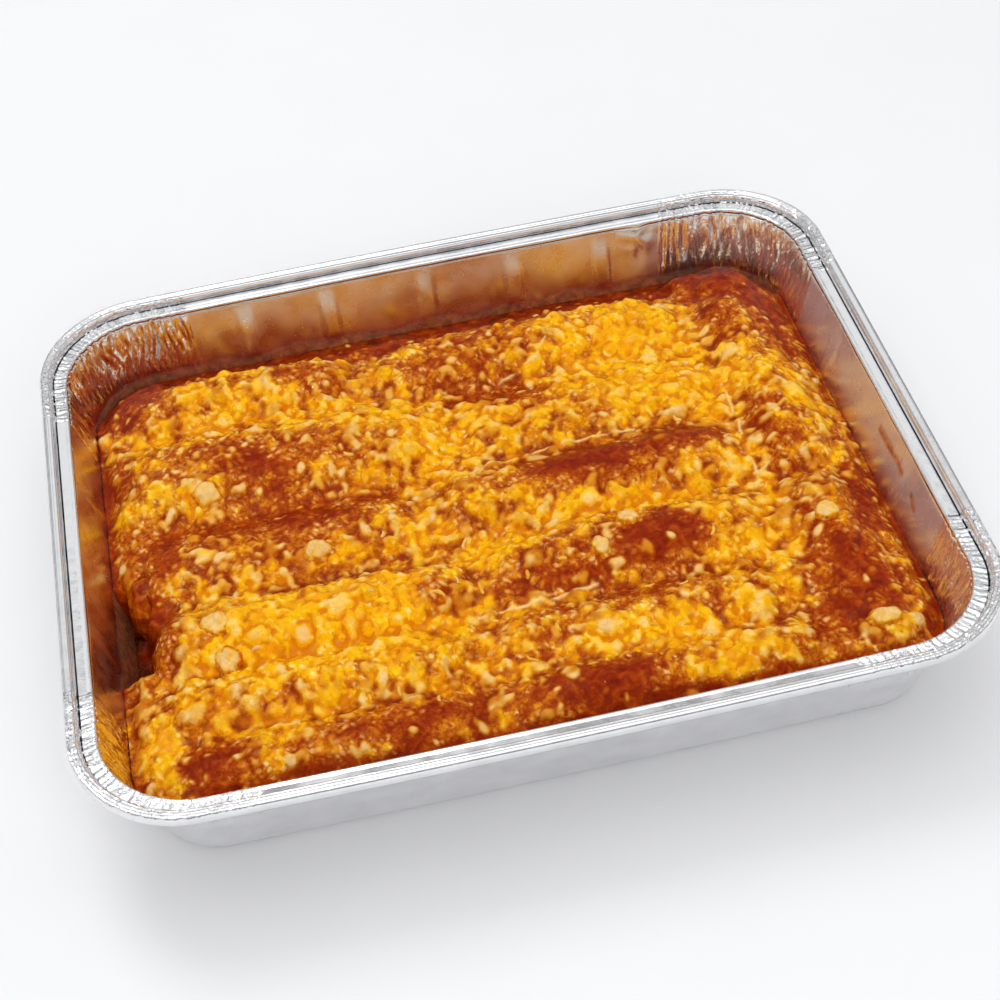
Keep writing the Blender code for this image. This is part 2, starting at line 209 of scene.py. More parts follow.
# Lines where the cheese has drawn up into a thin raised edge, with a painted highlight along it
FOLDS = (
    ((-4, 13), (14, 18), (36, 21), (62, 20)),
    ((-16, -57), (4, -56), (30, -54)),
    ((103, 36), (102, 8), (100, -20)),
    ((18, 62), (34, 68), (40, 76)),
)

# Colours of the foil: on its plain side, and on its food side, where it is stained
OUTSIDE_FOIL = ((0.30, (0.80, 0.80, 0.81)), (0.70, (0.90, 0.90, 0.91)))
STAINED_FOIL = ((0.30, (0.74, 0.60, 0.46)), (0.70, (0.84, 0.74, 0.62)))
CLEAN_FOIL = (0.72, 0.70, 0.70)
CREASED_FOIL = (0.93, 0.88, 0.83)
GREASE = ((0.35, (0.34, 0.070, 0.008)), (0.65, (0.62, 0.24, 0.050)))

# Colours of the food: ramps are (position, colour) stops
DEEP_SAUCE = ((0.30, (0.15, 0.005, 0.0001)), (0.50, (0.26, 0.017, 0.0003)), (0.70, (0.42, 0.060, 0.0008)))
OILY_SAUCE = ((0.35, (0.38, 0.036, 0.0005)), (0.65, (0.60, 0.12, 0.002)))
SAUCE_CRUMB = (0.64, 0.23, 0.018)
# Near-black painted shade where the cover is lowest, chiefly the sunken gap by the left wall
GAP_PAINTED_SHADE = (0.035, 0.003, 0.0002)
MIXED_UNDER = ((0.30, (0.36, 0.045, 0.0010)), (0.50, (0.55, 0.13, 0.003)), (0.70, (0.72, 0.25, 0.008)))
MIXED_GRAIN = ((0.30, (0.62, 0.19, 0.005)), (0.50, (0.80, 0.38, 0.040)), (0.66, (0.87, 0.55, 0.20)))
CHEESE_UNDER = ((0.30, (0.89, 0.37, 0.0008)), (0.50, (0.94, 0.50, 0.0012)), (0.70, (0.96, 0.58, 0.008)))
CHEESE_GRAIN = ((0.30, (0.93, 0.46, 0.0012)), (0.50, (0.96, 0.60, 0.008)), (0.66, (0.96, 0.74, 0.24)))
ORANGE_CHEESE = (0.82, 0.27, 0.001)
# Painted shade in the hollows, round the bits and between the grains, on sauce and on cheese
SAUCE_PAINTED_SHADE = (0.22, 0.015, 0.0006)
CHEESE_PAINTED_SHADE = (0.64, 0.17, 0.0010)
BIT_ON_CHEESE = (
    (0.10, (0.86, 0.33, 0.001)), (0.45, (0.93, 0.50, 0.006)),
    (0.70, (0.94, 0.61, 0.09)), (1.0, (0.91, 0.66, 0.27)),
)
BIT_ON_SAUCE = (
    (0.10, (0.46, 0.08, 0.0015)), (0.38, (0.68, 0.25, 0.012)),
    (0.66, (0.80, 0.42, 0.07)), (0.95, (0.87, 0.58, 0.23)),
)
PIT = (0.40, 0.07, 0.001)
# Painted highlight along the folds
FOLD_PAINTED_HIGHLIGHT = (0.95, 0.67, 0.24)
GLOSS_TINT = (1.0, 0.80, 0.50)
ROLL_SAUCE = ((0.30, (0.20, 0.012, 0.0004)), (0.50, (0.38, 0.055, 0.001)), (0.72, (0.58, 0.16, 0.005)))
FLOOR = ((0.3, (0.83, 0.83, 0.84)), (0.7, (0.84, 0.84, 0.85)))

# Studio: brightness of the surroundings by the sine of the height above the horizon
SKY = (
    (0.0, 0.75), (0.20, 0.75), (0.24, 0.06), (0.42, 0.08), (0.48, 0.42), (0.57, 0.72),
    (0.72, 0.84), (0.78, 0.28), (0.82, 0.30), (0.92, 1.20), (1.0, 1.40),
)
SKY_STRENGTH = 1.20
SKY_TINT = (0.985, 0.99, 1.0)

# Floor and lights: half the floor's side, then each light's place and size in metres and power in watts
FLOOR_HALF = 3.0
KEY = ((-0.35, 0.70, 1.45), 0.7, 6.2)
FILL = ((0.15, -1.60, 1.20), 1.5, 12.0)
GLINTS = (((-0.08, 0.30, 1.30), 0.06, 3.0), ((-0.80, 0.25, 0.95), 0.06, 4.0))
GLINT_TARGET = (0.0, 0.0, 0.03)

# Camera fitted to the rim, in pixels of a 1000 pixel picture
FOCAL = 1918.0
CENTRE_U = 452.6
CENTRE_V = 481.1
PICTURE = 1000.0
CAMERA_PLACE = (-0.07074, -0.50208, 0.55531)
CAMERA_RIGHT = (0.97682641, -0.19726551, -0.0830451)
CAMERA_DOWN = (-0.19806929, -0.68611534, -0.70001021)
CAMERA_FORWARD = (0.08110935, 0.70023714, -0.70928782)


def noise(gx, gy, seed, wrap=CELLS):
    """Smooth noise from about -1 to 1, one cell for each unit; gx repeats after wrap cells."""
    turns = np.random.default_rng(seed).uniform(0.0, 2.0 * math.pi, (wrap, CELLS))
    slope_x = np.cos(turns)
    slope_y = np.sin(turns)
    ix = np.floor(gx).astype(int)
    iy = np.floor(gy).astype(int)
    fx = gx - ix
    fy = gy - iy

    def corner(dx, dy):
        i = (ix + dx) % wrap
        j = (iy + dy) % CELLS
        return slope_x[i, j] * (fx - dx) + slope_y[i, j] * (fy - dy)

    ux = fx**3 * (fx * (fx * 6.0 - 15.0) + 10.0)
    uy = fy**3 * (fy * (fy * 6.0 - 15.0) + 10.0)
    low = corner(0, 0) * (1.0 - ux) + corner(1, 0) * ux
    high = corner(0, 1) * (1.0 - ux) + corner(1, 1) * ux
    return NOISE_GAIN * (low * (1.0 - uy) + high * uy)


def step_up(low, high, value):
    """Smooth step from 0 at low to 1 at high; it falls where high is below low."""
    t = np.clip((value - low) / (high - low), 0.0, 1.0)
    return t * t * (3.0 - 2.0 * t)


def distance_to(u, v, start, end):
    """Distance from each place to the straight stretch between two points."""
    du = u - start[0]
    dv = v - start[1]
    long_u = end[0] - start[0]
    long_v = end[1] - start[1]
    t = np.clip((du * long_u + dv * long_v) / (long_u**2 + long_v**2), 0.0, 1.0)
    return np.hypot(du - t * long_u, dv - t * long_v)


def add_object(name, data):
    made = bpy.data.objects.new(name, data)
    bpy.context.scene.collection.objects.link(made)
    return made


def make_piece(name, points, faces, material, attributes):
    """A shaded mesh from points in millimetres that rides on the tray's body."""
    mesh = bpy.data.meshes.new(name)
    mesh.from_pydata((np.asarray(points) * METRES).tolist(), [], [list(face) for face in faces])
    mesh.update()
    mesh.shade_smooth()
    for key, values in attributes.items():
        layer = mesh.attributes.new(key, "FLOAT", "POINT")
        layer.data.foreach_set("value", np.asarray(values, np.float32).ravel())
    mesh.materials.append(material)
    piece = add_object(name, mesh)
    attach(piece, "root")
    return piece


# Tray


def side_bow(x):
    """How far the long sides stand out beyond a straight line."""
    return LONG_SIDE_BOW * np.maximum(0.0, 1.0 - (2.0 * x / TRAY_LENGTH) ** 2)


def corner_radius(inset):
    return RIM_CORNER_RADIUS - CORNER_SHRINK * inset


# Half lengths of the straight sides, where the walls meet the shelf
LONG_REACH = TRAY_LENGTH / 2.0 - RIM_WIDTH - corner_radius(RIM_WIDTH)
SHORT_REACH = TRAY_WIDTH / 2.0 - RIM_WIDTH - corner_radius(RIM_WIDTH)


def wall_inset(z):
    """How far inside the rim's outer edge the food side of the wall lies at a height."""
    inset = RIM_WIDTH + WALL_SLOPE * (SHELF - z)
    rise = np.clip(z - FILLET_FOOT, 0.0, BASE_FILLET)
    return inset + BASE_FILLET - np.sqrt(BASE_FILLET**2 - (BASE_FILLET - rise) ** 2)


def inside_wall(x, y, z):
    """Distance from a place to the wall's food side at its height, positive inside."""
    inset = wall_inset(z)
    radius = corner_radius(inset)
    qx = np.abs(x) - (TRAY_LENGTH / 2.0 - inset - radius)
    qy = np.abs(y) - (TRAY_WIDTH / 2.0 - inset + side_bow(x) - radius)
    from_centre = np.hypot(np.maximum(qx, 0.0), np.maximum(qy, 0.0))
    return radius - from_centre - np.minimum(np.maximum(qx, qy), 0.0)


def side_places(reach):
    """Places along a straight side, close together in its pleated ends."""
    plain = reach - PLEATED_REACH
    ends = np.arange(0.0, PLEATED_REACH, FINE_STEP)
    middle = np.linspace(-plain, plain, int(2.0 * plain / PLAIN_STEP))
    return np.concatenate((-reach + ends, middle, plain + FINE_STEP + ends[:-1]))


def stations():
    """Places round the tray as (turn, corner, place): a length along a side, or an angle round a corner."""
    arc = math.pi / 2.0 * corner_radius(RIM_WIDTH)
    angles = np.linspace(0.0, math.pi / 2.0, int(arc / FINE_STEP), endpoint=False)
    turn, corner, place = [], [], []
    for side, reach in enumerate((LONG_REACH, SHORT_REACH) * 2):
        straight = side_places(reach)
        turn += [side] * (len(straight) + len(angles))
        corner += [0] * len(straight) + [1] * len(angles)
        place += list(straight) + list(angles)
    return np.array(turn), np.array(corner), np.array(place)


TURN, CORNER, PLACE = stations()
OUT_OF_TURN = np.radians(90.0 * TURN - 90.0)


def outline(inset):
    """Points and outward directions round the tray at an inset."""
    half_x = TRAY_LENGTH / 2.0 - inset
    half_y = TRAY_WIDTH / 2.0 - inset
    radius = corner_radius(inset)
    along_long = PLACE * (half_x - radius) / LONG_REACH
    along_short = PLACE * (half_y - radius) / SHORT_REACH
    sides = [TURN == 0, TURN == 1, TURN == 2]
    straight_x = np.select(sides, [along_long, half_x, -along_long], -half_x)
    straight_y = np.select(sides, [-half_y, along_short, half_y], -along_short)
    angle = OUT_OF_TURN + np.where(CORNER == 1, PLACE, 0.0)
    sign_x = np.where((TURN == 0) | (TURN == 1), 1.0, -1.0)
    sign_y = np.where((TURN == 1) | (TURN == 2), 1.0, -1.0)
    arc_x = sign_x * (half_x - radius) + radius * np.cos(angle)
    arc_y = sign_y * (half_y - radius) + radius * np.sin(angle)
    x = np.where(CORNER == 1, arc_x, straight_x)
    y = np.where(CORNER == 1, arc_y, straight_y)
    return x, y + np.sign(y) * side_bow(x), np.cos(angle), np.sin(angle)


def round_trip():
    """Share of the way round the tray at each station, and how far into the pleated corners it lies."""
    x, y, _, _ = outline(RIM_WIDTH)
    gaps = np.hypot(x - np.roll(x, 1), y - np.roll(y, 1))
    gaps[0] = 0.0
    way = np.cumsum(gaps)
    share = way / (way[-1] + math.hypot(x[0] - x[-1], y[0] - y[-1]))
    reach = np.where(TURN % 2 == 0, LONG_REACH, SHORT_REACH)
    from_corner = np.where(CORNER == 1, 0.0, reach - np.abs(PLACE))
    edge = PLEATED_REACH - 1.0 + 2.2 * noise(share * 90.0, share * 0.0, 41, 90)
    return share, step_up(edge, edge - 2.4, from_corner)


SHARE, PLEATED = round_trip()


def ridges(cells, height, seed, warp=0.7, tall=24.0):
    """Sharp upright creases round the tray: 1 on a ridge and falling to each side."""
    bend = warp * noise(SHARE * cells / 4.0, height / 13.0, seed + 1, cells // 4)
    lines = noise(SHARE * cells + bend, height / tall, seed, cells)
    return 1.0 - 2.2 * np.abs(lines)


def bump_line(value, centre, width):
    """A soft bump, 1 at its centre."""
    return np.exp(-(((value - centre) / width) ** 2))


def ribs_round(x, y):
    """The upright ribs pressed into the straight sides: 1 on a rib."""
    ribs = np.zeros_like(SHARE)
    for parity, along, centres in ((0, x, LONG_RIBS), (1, y, SHORT_RIBS)):
        side = np.where((TURN % 2 == parity) & (CORNER == 0), along, TRAY_LENGTH)
        for centre in centres:
            ribs += step_up(RIB_FOOT, RIB_TOP, np.abs(side - centre))
    return ribs


def wall_relief(z):
    """How far the foil wall stands in at a height, round the whole tray."""
    x, y, _, _ = outline(RIM_WIDTH)
    height = np.full_like(SHARE, z)
    fade = step_up(0.5, 7.0, z) * step_up(SHELF + 0.6, SHELF - 2.0, z)
    pleats = PLEAT_DEPTH * ridges(296, height, 11) + FINE_PLEAT_DEPTH * ridges(560, height, 12, 1.2, 15.0)
    pleats += PLEAT_WANDER * noise(SHARE * 60.0, height / 18.0, 13, 60)
    dents = DENT_DEPTH * noise(SHARE * 34.0, height / 30.0, 14, 34)
    dents += SMALL_DENT_DEPTH * noise(SHARE * 120.0, height / 12.0, 15, 120)
    rib_depth = RIB_DEPTH * step_up(7.0, 14.0, z) * step_up(SHELF - 0.5, SHELF - 14.0, z)
    at_back = np.where((TURN == 2) & (CORNER == 0), bump_line(x, CRUMPLE_X, 7.0), 0.0)
    crumple = at_back * bump_line(z, CRUMPLE_Z, 8.0) * (0.9 + 0.8 * noise(x / 5.0, height / 5.0, 16))
    plain = (1.0 - PLEATED) * (dents + rib_depth * ribs_round(x, y) + CRUMPLE_DEPTH * crumple)
    above_food = step_up(25.0, 28.5, z)
    return fade * above_food * (PLEATED * pleats + plain) - 0.30 * PLEATED * fade


def ring_mesh(rows):
    """Quads that join rows of points round the tray."""
    count = len(rows[0])
    this = np.arange(count)
    after = np.roll(this, -1)
    faces = []
    for i in range(len(rows) - 1):
        low = i * count
        high = low + count
        faces.append(np.stack((low + this, low + after, high + after, high + this), axis=1))
    return np.concatenate(rows), np.concatenate(faces).tolist()


def ring_points(inset, z, inward=0.0, lift=0.0):
    """One row round the tray, pushed inwards and lifted by the given relief."""
    x, y, out_x, out_y = outline(inset)
    return np.stack((x - out_x * inward, y - out_y * inward, np.zeros_like(x) + z + lift), axis=1)


def give_thickness(piece, food_side):
    """Foil thickness towards the food side, which takes its own material."""
    piece.data.materials.append(food_side)
    shell = piece.modifiers.new("foil", "SOLIDIFY")
    shell.thickness = SHEET * METRES
    shell.offset = -1.0
    shell.material_offset = 1


def make_walls(material, food_side):
    """Base, fillet and pleated walls, up to the shelf."""
    rows = []
    base_inset = float(wall_inset(FILLET_FOOT))
    for extra in BASE_ROWS:
        crease = 0.10 * noise(SHARE * 160.0, SHARE * 0.0 + extra / 9.0, 21, 160)
        rows.append(ring_points(base_inset + extra, BASE_Z, 0.0, np.abs(crease)))
    heights = list(FILLET_FOOT + BASE_FILLET * (1.0 - np.cos(np.radians(FILLET_ANGLES))))
    heights += list(np.linspace(FILLET_FOOT + BASE_FILLET, SHELF - 0.2, WALL_ROWS))
    for z in heights:
        rows.append(ring_points(float(wall_inset(z)) - SHEET, z - SHEET, wall_relief(z)))
    points, faces = ring_mesh(rows)
    faces.append(list(range(len(SHARE)))[::-1])
    creased = np.tile(PLEATED, len(rows)) * step_up(4.0, 9.0, points[:, 2])
    upper = step_up(25.0, 39.0, points[:, 2])
    clean = upper * step_up(60.0, 148.0, points[:, 0]) * (1.0 - 0.6 * creased)
    attributes = {"grease": grease_on(points), "creased": creased, "clean": clean}
    walls = make_piece("foil_walls", points, faces, material, attributes)
    give_thickness(walls, food_side)
    return walls


def grease_on(points):
    """Where oil and sauce have marked the walls: most near the food, and in the two runs."""
    x, y, z = points.T
    share = np.tile(SHARE, len(points) // len(SHARE))
    ragged = 2.6 * noise(share * 53.0, z / 9.0, 31, 53) + 1.3 * noise(share * 170.0, z / 5.0, 32, 170)
    film = FILM_STRENGTH * step_up(SAUCE_LEVEL + 3.5, SAUCE_LEVEL - 1.5, z + 0.8 * ragged)
    for start, end, width in RUNS:
        away = distance_to(y, z, start, end) + 0.35 * ragged
        run = RUN_STRENGTH * step_up(width * 1.9, width * 0.2, away)
        film = np.maximum(film, np.where(x > 120.0, run, 0.0))
    return film


def rim_profile():
    """Points across the rim as inset, height, and the share of the crimps that moves them in and up."""
    profile = [
        (10.05, SHELF - 0.15, 0.9, 0.2),
        (9.75, SHELF + 0.22, 0.8, 0.4),
        (9.35, SHELF + 0.28, 0.8, 0.6),
    ]
    profile += [(9.3 - 0.62 * k, SHELF + 0.02, 0.3, 1.0) for k in range(1, 8)]
    profile += [
        (4.95, SHELF + 0.05, 0.5, 0.9),
        (4.72, SHELF + 0.5, 0.6, 0.5),
        (4.66, SHELF + 1.3, 0.5, 0.4),
        (4.62, SHELF + 2.1, 0.5, 0.4),
    ]
    for degrees in CURL_ANGLES:
        a = math.radians(degrees)
        groove = GROOVE if degrees in GROOVE_ANGLES else 0.0
        across = (CURL_ACROSS - groove) * math.cos(a)
        rise = (CURL_RISE - groove) * math.sin(a)
        profile.append((CURL_INSET - across, TRAY_HEIGHT - CURL_DROP + rise, 1.0, 0.5))
    profile += [
        (0.30, TRAY_HEIGHT - 3.8, 0.9, 0.2),
        (0.50, TRAY_HEIGHT - 4.5, 0.5, 0.1),
        (1.05, TRAY_HEIGHT - 4.9, 0.3, 0.0),
        (1.90, TRAY_HEIGHT - 4.7, 0.2, 0.0),
    ]
    return profile


def make_rim(material):
    """Shelf, step and rolled curl, crimped at the corners."""
    overlap = SHELF - 1.1
    rows = [ring_points(float(wall_inset(overlap)) - SHEET, overlap, wall_relief(overlap) + 0.10)]
    flat = SHARE * 0.0
    for inset, z, side, top in rim_profile():
        height = flat + inset
        curl = 1.0 if inset < CURL_FROM else 0.0
        crimp = (0.16 - 0.06 * curl) * ridges(452, height, 51, 0.5, 9.0)
        crimp = PLEATED * (crimp + (0.36 - 0.16 * curl) * noise(SHARE * 800.0, height / 9.0, 52, 800))
        faint = (1.0 - PLEATED) * 0.05 * noise(SHARE * 260.0, height / 5.0, 53, 260)
        wander = 0.10 * noise(SHARE * 40.0, flat, 54, 40)
        beads = PLEATED * curl * 0.16 * noise(SHARE * 560.0, height / 0.9, 55, 560)
        lift = top * (crimp + faint + beads) + (1.0 - curl) * top * wander
        inward = side * (0.45 * crimp * (1.0 - 0.5 * curl) + beads)
        lift = np.minimum(lift, TRAY_HEIGHT - ROOM_ABOVE - z)
        rows.append(ring_points(inset, z, np.maximum(inward, ROOM_OUTSIDE - inset), lift))
    points, faces = ring_mesh(rows)
    rim = make_piece("foil_rim", points, faces, material, {"creased": np.tile(PLEATED, len(rows))})
    give_thickness(rim, material)


# Food surface


def blur(field, sigma):
    """Gaussian blur over sigma millimetres."""
    reach = int(3.0 * sigma / STEP) + 1
    kernel = np.exp(-((np.arange(-reach, reach + 1) * STEP / sigma) ** 2) / 2.0)
    kernel /= kernel.sum()
    for axis in (0, 1):
        padded = np.pad(field, [(reach, reach) if k == axis else (0, 0) for k in (0, 1)], mode="edge")
        field = sum(w * np.roll(padded, -k, axis=axis) for k, w in enumerate(kernel))
        field = field[tuple(slice(0, -2 * reach) if k == axis else slice(None) for k in (0, 1))]
    return field


def tree_of(names, nodes):
    """One search tree over several of the frame's solids."""
    points, polygons = [], []
    for name in names:
        mesh = nodes[name].data
        first = len(points)
        points += [v.co.copy() for v in mesh.vertices]
        polygons += [[first + i for i in p.vertices] for p in mesh.polygons]
    return BVHTree.FromPolygons(points, polygons)


def tops(tree, xs, ys):
    """Height of the highest solid under each place, or 0 where there is none."""
    down = Vector((0.0, 0.0, -1.0))
    found = np.zeros((len(xs), len(ys)))
    for i, x in enumerate(xs):
        for j, y in enumerate(ys):
            hit = tree.ray_cast(Vector((x * METRES, y * METRES, 0.2)), down)[0]
            if hit:
                found[i, j] = hit.z / METRES
    return found


def cheesiness(x, y):
    """Amount of melted cheese: below 0 bare sauce, above 1 thick cheese."""
    amount = np.full_like(x, COVER)
    for px, py, long, wide, turn, strength in PATCHES:
        a = math.radians(turn)
        along = ((x - px) * math.cos(a) + (y - py) * math.sin(a)) / long
        across = (-(x - px) * math.sin(a) + (y - py) * math.cos(a)) / wide
        gain = CHEESE_GAIN if strength > 0.0 else 1.0
        amount += gain * strength * np.exp(-((along**2 + across**2) ** 1.1))
    return amount


class Surface:
    """The food's top as heights on a grid, with what each place is made of."""

    def __init__(self, nodes):
        self.xs = np.arange(-HALF_X, HALF_X + STEP / 2.0, STEP)
        self.ys = np.arange(-HALF_Y, HALF_Y + STEP / 2.0, STEP)
        self.x, self.y = np.meshgrid(self.xs, self.ys, indexing="ij")
        rolls = [name for name in nodes if name.startswith("enchilada")]
        self.roll_top = tops(tree_of(rolls, nodes), self.xs, self.ys)
        self.cheese_top = tops(tree_of(["cheese"], nodes), self.xs, self.ys)
        solid = np.maximum(self.roll_top, self.cheese_top)
        under = np.maximum(solid, SAUCE_LEVEL)
        self.z = blur(np.where(solid > SAUCE_LEVEL, under + 0.3, under), 1.5)
        self.bit, self.tone, self.fold, self.ring = (np.zeros_like(self.z) for _ in range(4))
        self.meet_walls()
        self.lower_left_gap()
        self.make_cover()

    def rough(self, size, seed):
        """Noise over the surface with cells of a size."""
        return noise(self.x / size, self.y / size, seed)

    def meet_walls(self):
        """Food pressed out to the side walls, and sauce a little lower along the back wall."""
        wall = inside_wall(self.x, self.y, SAUCE_LEVEL) + 1.2 * self.rough(12.0, 63)
        at_right = step_up(96.0, 104.0, self.x)
        at_left = step_up(-112.0, -120.0, self.x)
        slope = np.clip(wall, 0.0, 9.0)
        filled = np.where(self.x > 0.0, 24.6 + 0.95 * slope, 24.4 + 0.75 * slope)
        filled = np.maximum(self.z, filled)
        self.z = self.z + np.maximum(at_right, at_left) * (filled - self.z)
        at_back = step_up(88.0, 100.0, self.y) * step_up(12.0, 1.0, wall)
        self.z = self.z - BACK_DROP * at_back

    def lower_left_gap(self):
        """The sauce has sunk away from the wall beside the fourth roll."""
        edge = GAP_EDGE + 3.0 * noise(self.y / 9.0, self.x * 0.0, 61)
        at_wall = step_up(edge + 2.6, edge - 1.6, self.x)
        self.gap = at_wall * step_up(-50.0, -40.0, self.y) * step_up(0.0, -8.0, self.y)
        bottom = GAP_HEIGHT + 1.0 * self.rough(6.0, 62)
        self.z = self.z * (1.0 - self.gap) + self.gap * bottom

    def make_cover(self):
        """How much cheese covers each place: in zones, and broken up within them."""
        x, y = self.x, self.y
        wall = inside_wall(x, y, SAUCE_LEVEL)
        self.zone = cheesiness(x, y)
        edge = 4.0 + 7.0 * step_up(84.0, 98.0, np.abs(y))
        rough_wall = wall + 2.0 * self.rough(11.0, 71)
        self.zone -= 1.2 * step_up(edge, edge - 4.0, rough_wall) * (1.0 - 0.75 * self.near_wall_cheese())
        self.zone -= 1.0 * step_up(97.0, 103.0, y + 2.0 * self.rough(14.0, 72))
        # The sunken gap gets the lowest cover, which the sauce colours paint near black as shade
        self.zone -= 3.0 * self.gap
        broken = 0.66 * self.rough(9.0, 73) + 0.46 * self.rough(4.6, 74)
        broken += 0.16 * self.rough(2.1, 75)
        self.amount = self.zone + broken

    def near_wall_cheese(self):
        """Two strips where the cheese reaches the wall."""
        left = step_up(-125.0, -129.0, self.x) * step_up(-48.0, -60.0, self.y)
        right = step_up(120.0, 125.0, self.x) * step_up(-25.0, -15.0, self.y) * step_up(48.0, 35.0, self.y)
        return np.maximum(left, right)

    def swell(self):
        """Soft unevenness of the melted cheese and the sauce, which always covers the rolls."""
        x, y = self.x, self.y
        cheese = step_up(0.0, 0.8, self.amount)
        food = step_up(SAUCE_LEVEL + 0.5, SAUCE_LEVEL + 3.0, self.z)
        bend = 2.5 * self.rough(10.0, 85)
        big = 2.2 * np.abs(noise((x + bend) / 9.5, (y - bend) / 9.5, 81)) - 0.7
        small = 1.1 * np.abs(noise((x - bend) / 4.2, (y + bend) / 4.2, 82))
        small = small + 0.6 * np.abs(self.rough(2.2, 83)) - 0.5
        filled = 0.18 + 0.20 * step_up(0.3, 1.0, self.zone)
        self.z = self.z + food * filled * (blur(self.z, 6.5) - self.z)
        share = (0.35 + 0.65 * food) * (0.25 + 0.75 * cheese)
        self.z = self.z + share * (big + small) + 0.35 * food * cheese
        over_rolls = np.where(self.roll_top > 0.0, self.roll_top, SAUCE_LEVEL - 4.0)
        skin = blur(over_rolls, 1.3) + 0.35 + 0.25 * self.rough(3.0, 86)
        covered = np.maximum(skin, over_rolls + WALL_GAP)
        self.z = np.where(self.gap > 0.35, self.z, np.maximum(self.z, covered))
        self.smooth = blur(self.z, 1.2)

    def nearest(self, x, y):
        """Indices of the grid's points nearest to the places."""
        i = np.clip(np.rint((x + HALF_X) / STEP).astype(int), 0, len(self.xs) - 1)
        j = np.clip(np.rint((y + HALF_Y) / STEP).astype(int), 0, len(self.ys) - 1)
        return i, j

    def scatter(self, pitch, zones, chances, seed):
        """Places spread over the food, at most one to a cell, and their random source."""
        rng = np.random.default_rng(seed)
        columns = np.arange(-HALF_X, HALF_X, pitch)
        rows = np.arange(-HALF_Y, HALF_Y, pitch)
        cx, cy = np.meshgrid(columns, rows, indexing="ij")
        px = (cx + rng.uniform(0.0, pitch, cx.shape)).ravel()
        py = (cy + rng.uniform(0.0, pitch, cy.shape)).ravel()
        i = np.clip(((px + HALF_X) / STEP).astype(int), 0, len(self.xs) - 1)
        j = np.clip(((py + HALF_Y) / STEP).astype(int), 0, len(self.ys) - 1)
        inside = inside_wall(px, py, SAUCE_LEVEL) > 1.5
        wanted = np.interp(self.zone[i, j], zones, chances) * (1.0 - self.gap[i, j])
        keep = inside & (rng.uniform(0.0, 1.0, len(px)) < wanted)
        return px[keep], py[keep], rng

    def stamp(self, px, py, long, wide, turn, height, tone, steepness):
        """Press a rounded bit of cheese on the surface at each place, and keep a ring just outside it for a
        painted dark outline of shade.
        """
        reach = int(long.max() / STEP) + 2
        window = np.arange(-reach, reach + 1)
        values = (px, py, long, wide, turn, height, tone)
        px, py, long, wide, turn, height, tone = (v[:, None, None] for v in values)
        i = np.clip(np.rint((px + HALF_X) / STEP).astype(int) + window[:, None], 0, len(self.xs) - 1)
        j = np.clip(np.rint((py + HALF_Y) / STEP).astype(int) + window, 0, len(self.ys) - 1)
        i, j = np.broadcast_arrays(i, j)
        dx = self.xs[i] - px + 0.5 * noise(self.xs[i] / 2.4, self.ys[j] / 2.4, 91)
        dy = self.ys[j] - py + 0.5 * noise(self.xs[i] / 2.4, self.ys[j] / 2.4, 92)
        along = (dx * np.cos(turn) + dy * np.sin(turn)) / long
        across = (-dx * np.sin(turn) + dy * np.cos(turn)) / wide
        q = along**2 + across**2
        dome = np.clip(1.0 - q, 0.0, 1.0) ** steepness
        raised = dome * height
        layer = np.zeros_like(self.z)
        np.maximum.at(layer, (i, j), raised)
        won = (raised >= layer[i, j] - 1e-9) & (raised > 0.0)
        mask = np.zeros_like(self.z)
        np.maximum.at(mask, (i[won], j[won]), step_up(1.05, 0.15, q)[won])
        # A band just outside each bit, later painted darker as contact shade
        ring = np.zeros_like(self.z)
        np.maximum.at(ring, (i, j), step_up(0.75, 1.05, q) * step_up(1.8, 1.2, q))
        self.ring = np.maximum(self.ring * (1.0 - mask), ring * (1.0 - mask))
        tones = self.tone.copy()
        tones[i[won], j[won]] = np.broadcast_to(tone, q.shape)[won]
        self.z = self.z + layer
        self.tone = np.where(mask > 0.02, tones, self.tone)
        self.bit = np.maximum(self.bit * (1.0 - mask), mask)

    def add_folds(self):
        """Thin raised edges where the melted cheese has drawn up along a roll, and a broken mask for the
        highlight painted along them.
        """
        x = self.x + 1.2 * self.rough(8.0, 93)
        y = self.y + 1.2 * self.rough(8.0, 94)
        thin = 0.50 + 0.14 * self.rough(5.0, 95)
        broken = step_up(-0.55, -0.05, self.rough(7.0, 96))
        for line in FOLDS:
            away = np.full_like(x, TRAY_LENGTH)
            for start, end in zip(line, line[1:]):
                away = np.minimum(away, distance_to(x, y, start, end))
            self.fold = np.maximum(self.fold, np.exp(-((away / thin) ** 2)))
        self.z = self.z + 0.6 * self.fold
        self.fold = self.fold * broken

    def add_bits(self):
        """Bits of cheese in their three sizes: lumps first, then smaller bits, then grains."""
        for pitch, (bare, mixed, thick), widths, stretch, heights, steepness, seed in BITS:
            chances = (bare * 0.4, bare * 2.2, mixed, thick)
            px, py, rng = self.scatter(pitch, (-0.7, 0.0, 0.7, 1.2), chances, seed)
            count = len(px)
            wide = rng.uniform(*widths, count)
            long = wide * rng.uniform(1.0, stretch, count)
            turn = rng.uniform(0.0, math.pi, count)
            height = rng.uniform(*heights, count) * np.clip(wide / widths[1] + 0.3, 0.5, 1.1)
            tone = 0.20 + 0.90 * rng.uniform(0.0, 1.0, count) ** 1.2
            self.stamp(px, py, long, wide, turn, height, tone, steepness)

    def soften(self):
        """Soften what has melted, then find the hollows, wide and small, which with the rings round the bits
        set where shade is painted.
        """
        self.z = blur(self.z, 0.42)
        self.bit = blur(self.bit, 0.6)
        self.tone = blur(self.tone, 0.7)
        wide = (blur(self.z, 2.6) - self.z) / 1.2
        small = (blur(self.z, 1.1) - self.z) / 0.45
        self.hollow = np.clip(0.5 * wide + 0.4 * small + 0.45 * self.ring, -1.0, 1.0)


